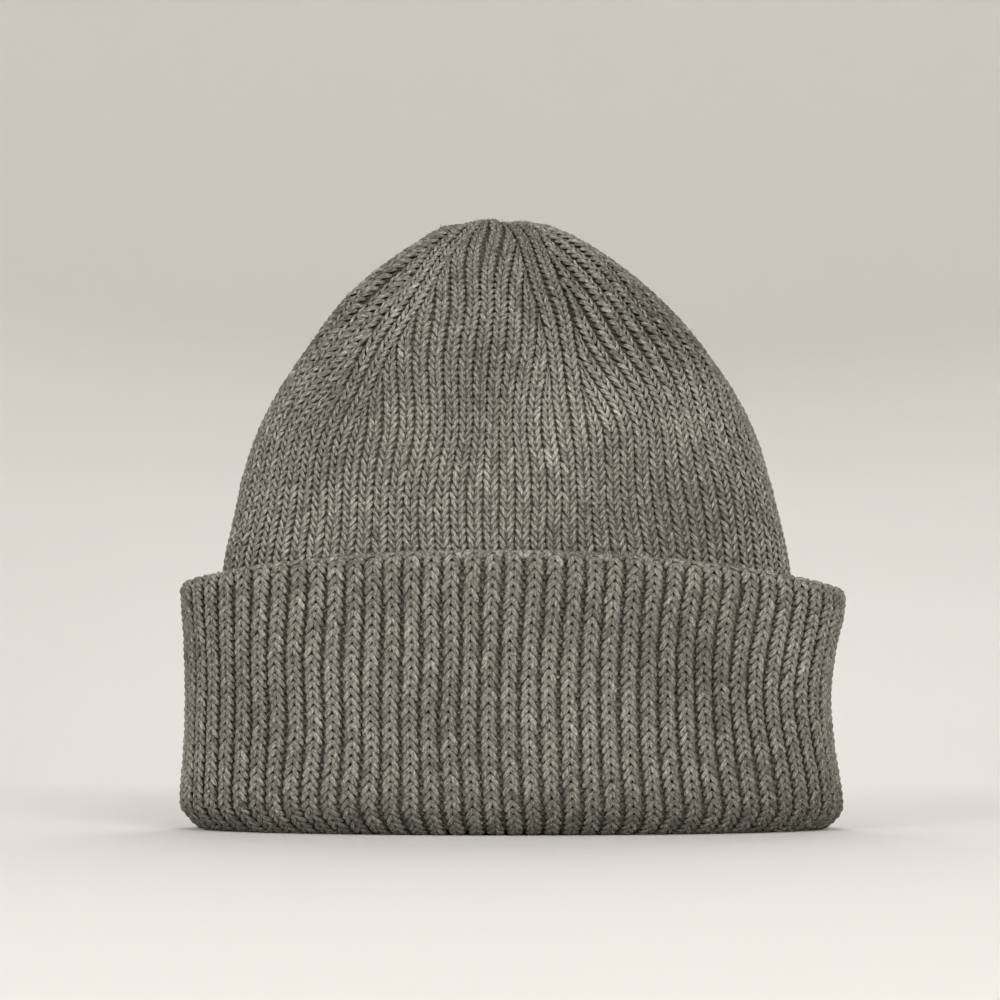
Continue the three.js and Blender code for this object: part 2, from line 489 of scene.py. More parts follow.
@dataclass(frozen=True)
class RibbedWool:
    """Marled grey wool yarn, two plies loosely twisted.

    It scatters light softly with a faint sheen, and its grey is a mix of pale and dark fibres
    that shows as short streaks along the yarn. The plies give each stitch a diagonal furrow.
    """

    name: str = "marled_wool_yarn"
    dark: str = "#45423B"
    shadow: str = "#68665D"
    middle: str = "#8A8880"
    pale: str = "#B9B7AD"
    plies: float = 2.0
    streak_mm: float = 0.3
    streak_stretch: float = 3.2
    twist_mm: float = 4.2
    relief_mm: float = 0.16

    def build(self) -> Material:
        """Makes the material.

        Returns:
            A material that reads the yarn and shade attributes of the stitches.
        """
        material, tree, shader = new_material(
            self.name,
            {"Roughness": 0.92, "Specular IOR Level": 0.2, "Sheen Weight": 0.08, "Sheen Roughness": 0.45},
        )
        yarn = add_node(tree, "Attribute", attribute_name="yarn").outputs["Vector"]
        shade = add_node(tree, "Attribute", attribute_name="shade").outputs["Fac"]
        fine = 1 / self.streak_mm
        scale = (fine, fine, fine / self.streak_stretch)
        stretched = add_node(tree, "Mapping", {"Vector": yarn, "Scale": scale})
        noise = {"Vector": stretched, "Scale": 1.0, "Detail": 3.0, "Roughness": 0.6}
        streaks = add_node(tree, "TexNoise", noise)
        x, y, z = add_node(tree, "SeparateXYZ", (yarn,)).outputs
        around = add_node(tree, "Math", (y, x), operation="ARCTAN2")
        twist = FULL_TURN / self.twist_mm
        twisted = add_node(tree, "Math", (z, twist, around), operation="MULTIPLY_ADD")
        plied = add_node(tree, "Math", (twisted, self.plies), operation="MULTIPLY")
        ply = add_node(tree, "Math", (plied,), operation="SINE")
        spread = add_node(tree, "Math", (streaks, 1.7, -0.35), operation="MULTIPLY_ADD")
        mixed = add_node(tree, "Math", (ply, 0.06, spread), operation="MULTIPLY_ADD")
        # The shade attribute adds each stitch's own tone, patches and blotches, and its painted shade.
        tone = add_node(tree, "Math", (mixed, shade), operation="ADD", use_clamp=True)
        ramp = add_node(tree, "ValToRGB", (tone,))
        set_ramp(ramp, ((0.12, self.dark), (0.36, self.shadow), (0.58, self.middle), (0.88, self.pale)))
        relief = add_node(tree, "Math", (ply, 0.28, streaks), operation="MULTIPLY_ADD")
        raised = {"Height": relief, "Distance": self.relief_mm * MM, "Strength": 0.9}
        tree.links.new(ramp.outputs["Color"], shader["Base Color"])
        tree.links.new(add_node(tree, "Bump", raised).outputs["Normal"], shader["Normal"])
        return material


@dataclass(frozen=True)
class KnitGround:
    """The same wool where single stitches aren't modelled: the gaps and the inner face.

    Rows of V stitches follow the ribs as low relief, with painted shade where the cloth folds in.
    """

    name: str = "knitted_wool_ground"
    # The colour of the deepest grooves of the wall: painted shade.
    deep: str = "#2E2B27"
    furrow: str = "#5A554C"
    body: str = "#8B867B"
    slant: float = 1.5
    fleck_mm: float = 0.9
    relief_mm: float = 0.5

    def build(self) -> Material:
        """Makes the material.

        Returns:
            A material that reads the knit map, in ribs and rows, and the shade attribute.
        """
        material, tree, shader = new_material(
            self.name,
            {"Roughness": 0.95, "Specular IOR Level": 0.15, "Sheen Weight": 0.06, "Sheen Roughness": 0.5},
        )
        knit = add_node(tree, "Attribute", attribute_name="knit").outputs["Vector"]
        shade = add_node(tree, "Attribute", attribute_name="shade").outputs["Fac"]
        ribs, rows, _ = add_node(tree, "SeparateXYZ", (knit,)).outputs
        across = add_node(tree, "Math", (ribs,), operation="FRACT")
        centred = add_node(tree, "Math", (across, 0.5), operation="SUBTRACT")
        aside = add_node(tree, "Math", (centred,), operation="ABSOLUTE")
        rising = add_node(tree, "Math", (aside, -self.slant, rows), operation="MULTIPLY_ADD")
        turned = add_node(tree, "Math", (rising, FULL_TURN), operation="MULTIPLY")
        stitches = add_node(tree, "Math", (turned,), operation="SINE")
        place = add_node(tree, "TexCoord").outputs["Object"]
        noise = {"Vector": place, "Scale": 1 / (self.fleck_mm * MM), "Detail": 4.0, "Roughness": 0.65}
        flecks = add_node(tree, "TexNoise", noise)
        # The stitch relief and the shade attribute darken the colour in the folds and the gaps: painted
        # shade.
        raised = add_node(tree, "Math", (stitches, 0.16, flecks), operation="MULTIPLY_ADD")
        lit = add_node(tree, "Math", (raised, shade), operation="ADD", use_clamp=True)
        ramp = add_node(tree, "ValToRGB", (lit,))
        set_ramp(ramp, ((0.0, self.deep), (0.28, self.furrow), (0.85, self.body)))
        relief = {"Height": raised, "Distance": self.relief_mm * MM, "Strength": 0.8}
        tree.links.new(ramp.outputs["Color"], shader["Base Color"])
        tree.links.new(add_node(tree, "Bump", relief).outputs["Normal"], shader["Normal"])
        return material


@dataclass(frozen=True)
class LooseWool:
    """Loose wool fibres: fine, rough and pale against the light, some darker than others."""

    name: str = "loose_wool_fibre"
    dark: str = "#6E6A60"
    pale: str = "#A8A498"

    def build(self) -> Material:
        """Makes the material.

        Returns:
            A material that reads the shade attribute of the fibres.
        """
        material, tree, shader = new_material(self.name, {"Roughness": 0.8, "Specular IOR Level": 0.3})
        shade = add_node(tree, "Attribute", attribute_name="shade").outputs["Fac"]
        tones = {0: shade, 6: linear(self.dark), 7: linear(self.pale)}
        tint = add_node(tree, "Mix", tones, data_type="RGBA")
        tree.links.new(tint.outputs[2], shader["Base Color"])
        return material


@dataclass(frozen=True)
class Line:
    """A line up the cloth, in ribs round from the middle of the front.

    drift is how many ribs it has moved sideways by the top, as the panels narrow unevenly, and
    beside is how many ribs of the knitting it stands off that place at any height.
    """

    at: float
    drift: float = 0.0
    beside: float = 0.0


@dataclass(frozen=True)
class Panel:
    """A run of ribs between two lines. They follow a third one, the guide, and are counted from it.

    opening is how much wider its ribs become than those of the rest, above the first decreases,
    and relief the share of the full depth that the grooves between them reach there.
    """

    left: Line
    right: Line
    guide: Line
    opening: float = 0.0
    relief: float = 0.0


@dataclass(frozen=True)
class Seam:
    """A seam of the crown and the panel on its right, up to the next seam.

    guide is the rib groove that runs straight up that panel, in ribs round from the middle of the
    front. opening and relief are those of the panel.
    """

    line: Line
    guide: float
    opening: float
    relief: float


@dataclass(frozen=True)
class Patch:
    """A place on the front of the cloth, in millimetres, paler than the rest or darker."""

    x: float
    z: float
    size: float
    paleness: float


@dataclass
class Ribs:
    """Where the ribs of the knitting run on a surface.

    Each panel's ribs run beside its guide and keep their width as the girth shrinks, so they end
    one after the other at the lines on its two sides. Above the first decreases they open out a
    little.
    """

    surface: Surface
    count: int
    panels: Sequence[Panel]
    decrease_from: float = math.inf
    spread: float = 0.08
    spread_by: float = 0.45
    fewest: float = 24.0

    def __post_init__(self) -> None:
        """Keeps the lines of the panels as arrays."""
        self._openings = np.array([panel.opening for panel in self.panels])
        self._reliefs = np.array([panel.relief for panel in self.panels])
        self._lines = {
            edge: np.array([astuple(getattr(panel, edge.value)) for panel in self.panels]).T for edge in Edge
        }

    def rise(self, along: Array) -> Array:
        """Finds how far the decreases have come.

        Args:
            along: How far along the cloth.

        Returns:
            The share of their way, from 0 where they start to 1 at the top.
        """
        if math.isinf(self.decrease_from):
            return np.zeros_like(along, float)
        return np.clip((along - self.decrease_from) / (self.surface.length - self.decrease_from), 0, 1)

    def opened(self, along: Array) -> Array:
        """How far the ribs have opened out, from 0 where the decreases start to 1."""
        return ease(np.clip(self.rise(along) / self.spread_by, 0, 1))

    def relief(self, along: Array, panel: Array) -> Array:
        """The share of the full depth that the grooves of each panel reach."""
        return self._reliefs[panel] * self.opened(along)

    def total(self, along: Array, panel: Array | None = None) -> Array:
        """Finds how many ribs the girth holds.

        Args:
            along: How far along the cloth.
            panel: The panels whose ribs would fill the girth, or None for the ribs of the seams.

        Returns:
            The number of ribs at each place.
        """
        along = np.asarray(along, float)
        if math.isinf(self.decrease_from):
            return np.full_like(along, self.count)
        opening = self.spread if panel is None else self.spread + self._openings[panel]
        held = self.count * self.surface.girth(along) / self.surface.girth(self.decrease_from)
        held = np.where(along <= self.decrease_from, self.count, np.minimum(held, self.count))
        return np.maximum(held, self.fewest) / (1 + opening * self.opened(along))

    def line(self, edge: Edge, panel: Array, along: Array) -> Array:
        """The share of the girth at which one of the lines of each panel lies."""
        at, drift, beside = (values[panel] for values in self._lines[edge])
        return (at + drift * self.rise(along)) / self.count + beside / self.total(along)

    def limits(self, panel: Array, along: Array) -> tuple[Array, Array]:
        """Finds how far a panel reaches on each side of its guide.

        Args:
            panel: Panel numbers.
            along: How far along the cloth, for each.

        Returns:
            How many ribs its right and left lines are from the guide, counted leftwards.
        """
        guide, total = self.line(Edge.GUIDE, panel, along), self.total(along, panel)
        right = (guide - self.line(Edge.RIGHT, panel, along)) * total
        return right, (guide - self.line(Edge.LEFT, panel, along)) * total

    def panel_at(self, share: Array, along: float) -> Array:
        """Finds the panel at each place round the hat.

        Args:
            share: Places round the hat.
            along: How far along the cloth they are.

        Returns:
            The number of each one's panel.
        """
        place = np.asarray(along, float)
        found = np.zeros(len(share), int)
        for panel in range(len(self.panels)):
            turns = np.floor(share - self.line(Edge.LEFT, panel, place))
            found = np.where(share - turns < self.line(Edge.RIGHT, panel, place), panel, found)
        return found

    def phase(self, share: Array, along: float, near: Array) -> Array:
        """Counts ribs from the guide of a panel.

        Args:
            share: Places round the hat.
            along: How far along the cloth they are.
            near: A place in each one's panel.

        Returns:
            How many ribs each place is left of that guide: a whole number in a groove.
        """
        panel = self.panel_at(near, along)
        place = np.full(len(near), float(along))
        turns = np.floor(near - self.line(Edge.LEFT, panel, place))
        return (self.line(Edge.GUIDE, panel, place) - share + turns) * self.total(place, panel)


@dataclass
class Knitting:
    """Lays stitches on a surface along its ribs.

    wander is how far the ribs sway, in ribs. widest_gap is the widest groove between open ribs,
    and flat_round and full_round how far a rib's edges drop, closed and open, in millimetres.
    bunch gives how much wider the stitches are along the cloth, and the painted shade how much darker their
    colour is painted there, standing in for shade.
    """

    surface: Surface
    ribs: Ribs
    grain: Grain
    turn: Turn
    sway: Sways
    wander: float
    blotch: Sways
    rng: np.random.Generator
    tone: float
    widest_gap: float = 0.0
    flat_round: float = 0.0
    full_round: float = 0.0
    bunch: Callable[[Array], Array] = np.ones_like
    # Painted shade: how much darker the colour is painted at each place along the cloth.
    painted_shade: Callable[[Array], Array] = np.zeros_like
    patches: Sequence[Patch] = ()

    # A rib that ends at a line shows while it is this share of its width, and is drawn at least
    # as wide as the second.
    NARROWEST = 0.15
    LEAST_DRAWN = 0.2
    # The mean and spread of a stitch's plumpness, and of its lift, slide and skew.
    UNEVENNESS = ((1.0, 0.05), (0.0, 0.06), (0.0, 0.035), (0.0, 0.025))
    SLIDE_ASIDE = 0.4
    SKEW_RISE = 4
    # A rib wider than this share of its pitch leaves part of the rest open as a groove.
    GAP_FROM = 0.93
    GAP_SHARE = 0.6
    THINNEST = 0.55
    THICKEST = 1.1
    YARN_LENGTH = 400
    TONE_SPREAD = 0.055
    BLOTCH_DEPTH = 0.05
    BLOTCH_STRETCH = 0.6
    STEP = 0.5  # millimetres, for finding directions on the cloth

    def stitches(self, start: float, stop: float) -> Array:
        """Lists the stitches between two places along the cloth.

        Args:
            start: Where the first row starts, in millimetres along the cloth.
            stop: Where the last row ends.

        Returns:
            One row for each stitch: its panel, its rib's number leftwards from the guide, its
            start and its height.
        """
        rows = max(1, round((stop - start) / self.grain.row))
        height = (stop - start) / rows
        found = []
        for panel in range(len(self.ribs.panels)):
            for row in range(rows):
                along = start + row * height
                first, last = (float(limit) for limit in self.ribs.limits(panel, np.array(along)))
                for rib in range(math.floor(first + 1e-6), math.ceil(last - 1e-6)):
                    if min(rib + 1, last) - max(rib, first) > self.NARROWEST:
                        found.append((panel, rib, along, height))
        return np.array(found)

    def middle(self, stitches: Array, along: Array) -> tuple[Array, Array]:
        """Finds the middle of each stitch's rib.

        Args:
            stitches: What stitches() listed.
            along: Places along the cloth, a row for each stitch.

        Returns:
            Its share of the girth, and the rib's width: 1, or less where it ends at a line.
        """
        panel, rib = stitches[:, 0:1].astype(int), stitches[:, 1:2]
        first, last = self.ribs.limits(panel, along)
        near, far = np.maximum(rib, first), np.minimum(rib + 1, last)
        guide = self.ribs.line(Edge.GUIDE, panel, along)
        share = guide - (near + far) / 2 / self.ribs.total(along, panel)
        return share, np.clip(far - near, self.LEAST_DRAWN, 1.0)

    def square(self, stitches: Array) -> tuple[Array, Array, Array]:
        """Finds which way is square to each stitch's rib.

        Args:
            stitches: What stitches() listed.

        Returns:
            What a step of a millimetre that way is as a share of the girth and in millimetres
            along the cloth, and how wide the rib is that way.
        """
        along = stitches[:, 2:3] + stitches[:, 3:4] / 2
        total = self.ribs.total(along, stitches[:, 0:1].astype(int))
        middle, _ = self.middle(stitches, along)
        above, _ = self.middle(stitches, along + self.STEP)
        here = self.surface.place(middle, along)
        rib = self.surface.place(above, along + self.STEP) - here
        up_cloth = (self.surface.place(middle, along + self.STEP) - here) / self.STEP
        step = self.STEP / self.surface.girth(along)
        round_hat = (self.surface.place(middle + step, along) - here) / step[..., None]
        lean = (round_hat * rib).sum(axis=-1) / np.maximum((up_cloth * rib).sum(axis=-1), 0.05)
        square = round_hat - up_cloth * lean[..., None]
        length = np.linalg.norm(square, axis=-1)
        return 1 / length, -lean / length, (round_hat * square).sum(axis=-1) / length / total

    def lay(self, stitches: Array, side: Side) -> Batch:
        """Lays one grain of each stitch.

        Args:
            stitches: What stitches() listed.
            side: Which of the two grains.

        Returns:
            The grains.
        """
        local, yarn, faces = self.grain.build(side)
        amount, pitch = len(stitches), self.grain.pitch
        plump, lift, slide, skew = (self.rng.normal(*own, (amount, 1)) for own in self.UNEVENNESS)
        across = local[None, :, 0] / pitch * plump + slide * self.SLIDE_ASIDE
        up = local[None, :, 1] / self.grain.row
        if self.turn is Turn.INVERTED:
            across, up = -across, 1 - up
        up = up + slide + skew * across * self.SKEW_RISE
        along = stitches[:, 2:3] + stitches[:, 3:4] * up
        panel = stitches[:, 0:1].astype(int)
        total, relief = self.ribs.total(along, panel), self.ribs.relief(along, panel)
        middle, narrowed = self.middle(stitches, along)
        round_hat, up_cloth, width = self.square(stitches)
        wander = self.wander * self.sway.at(middle, along) / total
        spare = (width - self.GAP_FROM * pitch) * self.GAP_SHARE
        gap = np.clip(spare, 0, self.widest_gap) * relief
        aside = across * narrowed * (width - gap) * self.bunch(along)
        out = (local[None, :, 2] + lift) * np.clip(width / pitch, self.THINNEST, self.THICKEST) * plump
        out = out - (self.flat_round + self.full_round * relief) * (2 * across) ** 2
        points = self.surface.place(middle + wander + round_hat * aside, along + up_cloth * aside, out)
        points[..., 2] = np.maximum(points[..., 2], LOWEST_YARN)
        straight = np.broadcast_to(yarn[None], (amount, *yarn.shape)).copy()
        straight[..., 2] += self.rng.uniform(0, self.YARN_LENGTH, (amount, 1))
        return Batch(points, straight, self.shade(stitches), faces)

    def shade(self, stitches: Array) -> Array:
        """Works out the paleness of each grain.

        Args:
            stitches: What stitches() listed.

        Returns:
            Its own tone, less the painted shade, with the paler and darker patches and the slow blotches of
            the yarn.
        """
        along = stitches[:, 2:3]
        middle, _ = self.middle(stitches, along)
        own = self.rng.normal(self.tone, self.TONE_SPREAD, len(stitches)) - self.painted_shade(along[:, 0])
        spots = self.surface.place(middle, along)[:, 0]
        for patch in self.patches:
            distance = np.hypot(spots[:, 0] - patch.x, spots[:, 2] - patch.z) / patch.size
            own += patch.paleness * np.exp(-(distance**2)) * (spots[:, 1] < 0)
        return own + self.BLOTCH_DEPTH * self.blotch.at(middle[:, 0], along[:, 0] * self.BLOTCH_STRETCH)


@dataclass(frozen=True)
class WallRing:
    """One ring of points of a cloth wall, from the middle of the front round to it again.

    points are in millimetres. before and after are the rib numbers on the two sides of each
    point, course is the row number, and shade is how pale each point is.
    """

    points: Array
    before: Array
    after: Array
    course: float
    shade: Array


def cloth_wall(name: str, rings: Sequence[WallRing]) -> Piece:
    """Makes a closed cloth wall from rings of points.

    Args:
        name: The object's name.
        rings: The rings, out along one face of the cloth and back along the other. A ring whose
            points coincide becomes a pole.

    Returns:
        The object, smooth-shaded, with its knit map and shade attribute.
    """
    closed = [*rings, rings[0]]
    height, width = len(rings), len(rings[0].points) - 1
    shape = bmesh.new()
    bmesh.ops.create_grid(shape, x_segments=width, y_segments=height, size=0.5)
    shade = shape.verts.layers.float.new("shade")
    knit = shape.loops.layers.uv.new("knit")
    spots = {v: (round((v.co.y + 0.5) * height), round((v.co.x + 0.5) * width)) for v in shape.verts}
    for vert, (row, column) in spots.items():
        vert.co = closed[row].points[column] * MM
        vert[shade] = closed[row].shade[column]
    for face in shape.faces:
        left = min(spots[vert][1] for vert in face.verts)
        for loop in face.loops:
            row, column = spots[loop.vert]
            ribs = closed[row].after if column == left else closed[row].before
            loop[knit].uv = (ribs[column], closed[row].course)
    bmesh.ops.remove_doubles(shape, verts=shape.verts, dist=0.002 * MM)
    bmesh.ops.delete(shape, geom=[e for e in shape.edges if not e.link_faces], context="EDGES")
    bmesh.ops.recalc_face_normals(shape, faces=shape.faces)
    mesh = bpy.data.meshes.new(name)
    shape.to_mesh(mesh)
    shape.free()
    mesh.shade_smooth()
    return put(name, mesh)


def dress(piece: Piece, node: str, material: Material) -> Piece:
    """Gives a piece its material and its place in the frame.

    Args:
        piece: The finished piece.
        node: The CAD node that it stands for.
        material: Its finish.

    Returns:
        The same piece.
    """
    piece.data.materials.clear()
    piece.data.materials.append(material)
    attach(piece, "root")
    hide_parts(node)
    return piece


@dataclass
class KnittedPart:
    """What the crown and the cuff share: the yarn, the ground behind it and the ribs round."""

    yarn: Material
    ground: Material
    ribs_round: int = 80
    columns_per_rib: int = 3

    def columns(self) -> Array:
        """Where the columns of the wall stand, as shares of the girth."""
        return np.linspace(0, 1, self.ribs_round * self.columns_per_rib + 1)


@dataclass
class Crown(KnittedPart):
    """The body of the hat, from inside the fold to the gathered top."""

    seams: Sequence[Seam] = (
        Seam(Line(4.5, 0.5), guide=12.5, opening=0.2, relief=1.0),
        Seam(Line(20.5), guide=28.5, opening=0.4, relief=0.9),
        Seam(Line(36.5), guide=44.5, opening=0.5, relief=0.9),
        Seam(Line(52.5), guide=60.5, opening=0.62, relief=1.0),
        Seam(Line(68.5, 4.3), guide=77.5, opening=0.0, relief=0.2),
    )
    spine: float = 1.0
    spine_relief: float = 0.5
    squeeze: float = 0.18
    tone: float = -0.025
    # How much darker the yarn is painted towards the top: painted shade.
    top_painted_shade: float = 0.05
    patches: Sequence[Patch] = (
        Patch(-35.9, 128.0, 13.0, 0.07),
        Patch(30.3, 136.0, 5.0, 0.10),
        Patch(26.0, 130.0, 4.0, 0.08),
        Patch(11.4, 118.4, 2.6, 0.15),
        Patch(3.5, 107.2, 2.0, 0.17),
        Patch(-12.0, 112.0, 15.0, 0.04),
        Patch(54.0, 158.0, 20.0, -0.07),
        Patch(-62.0, 150.0, 16.0, -0.05),
    )
    decreases_start: float = 128.0
    stitches_from: float = 64.0
    top_hole: float = 1.5
    grain: Grain = Grain(
        pitch=5.0,
        row=2.37,
        radius=0.66,
        path=(
            (0.28, -0.80, -1.40),
            (0.54, 0.05, -0.86),
            (1.22, 1.20, -0.60),
            (1.84, 2.35, -0.76),
            (2.10, 3.15, -1.30),
        ),
    )
    wall: float = 4.0
    outer_rings: int = 60
    inner_rings: int = 44
    ground_depth: float = 1.3
    opened_depth: float = 2.7
    groove: float = 0.9
    inner_groove: float = 0.6
    # Painted shade on the outer face of the wall, which shows in the gaps: some all over, more where the
    # ribs open out.
    ground_painted_shade: float = -0.15
    opened_painted_shade: float = -0.4
    sections: Sequence[Section] = (
        Section(6.5, 99.6, 49.0, -0.7),
        Section(30.0, 99.3, 50.6, -1.2),
        Section(60.0, 98.4, 51.6, -1.8),
        Section(87.0, 96.4, 52.0, -2.2),
        Section(104.0, 93.1, 52.0, -2.2),
        Section(118.0, 90.0, 51.6, -2.4),
        Section(131.5, 86.0, 50.2, -2.4),
        Section(145.0, 79.9, 47.6, -2.4),
        Section(158.5, 71.6, 44.0, -2.6),
        Section(170.0, 63.4, 39.8, -2.9),
        Section(180.0, 54.8, 35.2, -3.7),
        Section(188.0, 46.3, 30.6, -4.0),
        Section(194.6, 37.6, 25.8, -4.0),
        Section(200.0, 29.6, 20.8, -4.1, pull=0.3),
        Section(204.3, 22.4, 16.0, -5.0, pull=0.8),
        Section(206.3, 14.0, 10.2, -5.8, pull=1.5),
        Section(206.3, 7.6, 5.6, -4.8, pull=1.5),
        Section(205.2, 2.8, 2.0, -3.4, pull=0.5),
        Section(204.6, 0.4, 0.3, -3.2),
    )

    def __post_init__(self) -> None:
        """Works out the surface and the run of the ribs."""
        shares = [seam.line.at / self.ribs_round for seam in self.seams]
        self.surface = Surface(self.sections, self.squeeze, seams=shares)
        start = self.surface.at_height(self.decreases_start)
        self.ribs = Ribs(self.surface, self.ribs_round, self.panels(), decrease_from=start)

    def panels(self) -> list[Panel]:
        """Divides the crown at its seams.

        Returns:
            For each seam, the spine of ribs along it and the panel up to the next.
        """
        found = []
        for seam, following in zip(self.seams, [*self.seams[1:], self.seams[0]]):
            turn = 0 if following.line.at > seam.line.at else self.ribs_round
            start = replace(seam.line, beside=-self.spine)
            left = replace(seam.line, beside=self.spine)
            right = replace(following.line, at=following.line.at + turn, beside=-self.spine)
            found.append(Panel(start, left, seam.line, relief=self.spine_relief))
            found.append(Panel(left, right, Line(seam.guide), seam.opening, seam.relief))
        return found

    def build(self) -> list[Piece]:
        """Knits the crown.

        Returns:
            The panels of stitches and the wall behind them.
        """
        knitting = Knitting(
            self.surface,
            self.ribs,
            self.grain,
            Turn.UPRIGHT,
            sway=Sways(11),
            wander=0.16,
            blotch=Sways(12),
            rng=np.random.default_rng(101),
            tone=self.tone,
            widest_gap=1.2,
            flat_round=0.25,
            full_round=1.5,
            painted_shade=self.painted_shade,
            patches=self.patches,
        )
        start = self.surface.at_height(self.stitches_from)
        stitches = knitting.stitches(start, self.surface.length - self.top_hole)
        pieces = []
        for panel in range(len(self.seams)):
            mine = stitches[stitches[:, 0] // 2 == panel]
            piece = joined_mesh(f"crown_panel_{panel + 1}", [knitting.lay(mine, side) for side in Side])
            pieces.append(dress(piece, "crown", self.yarn))
        pieces.append(self.build_wall())
        return pieces

    def painted_shade(self, along: Array) -> Array:
        """Painted shade: how much darker the yarn's colour is painted above the first decreases, towards the
        top, where less light falls.
        """
        return self.top_painted_shade * self.ribs.opened(along)

    def build_wall(self) -> Piece:
        """Makes the wall behind the stitches.

        Returns:
            The wall, ribbed on its inner face too.
        """
        shares, length = self.columns(), self.surface.length
        rings = [self.ring(shares, along, False) for along in np.linspace(0, length, self.outer_rings)]
        rings += [self.ring(shares, along, True) for along in np.linspace(length, 0, self.inner_rings)]
        return dress(cloth_wall("crown_wall", rings), "crown", self.ground)

    def ring(self, shares: Array, along: float, inside: bool) -> WallRing:
        """Works out one ring of the wall.

        Args:
            shares: Where the points stand round the hat.
            along: How far along the cloth the ring is.
            inside: Whether it is on the inner face, whose ribs stand behind the outer grooves.

        Returns:
            The ring, deeper outside where the ribs open out, and a point at the top. Its outer face carries
            painted shade: darker all over, and darker still where the ribs open out.
        """
        ribs = self.ribs.phase(shares, along, shares)
        if inside:
            depth = self.wall - crest(ribs) * self.inner_groove
            shade = np.zeros(len(shares))
        else:
            panel = self.ribs.panel_at(shares, along)
            relief = self.ribs.relief(np.full(len(shares), float(along)), panel)
            depth = self.ground_depth + (self.opened_depth - self.ground_depth) * relief
            depth = depth + (1 - crest(ribs)) * self.groove * (1 - relief)
            shade = self.ground_painted_shade + self.opened_painted_shade * relief
        points = self.surface.place(shares, along, -depth)
        if along > self.surface.length - 0.01:
            points = np.broadcast_to(points.mean(axis=0), points.shape)
        half, turned = 0.5 * shares[1], 0.5 if inside else 0.0
        before = self.ribs.phase(shares, along, shares - half) + turned
        after = self.ribs.phase(shares, along, shares + half) + turned
        return WallRing(points, before, after, along / self.grain.row, shade)


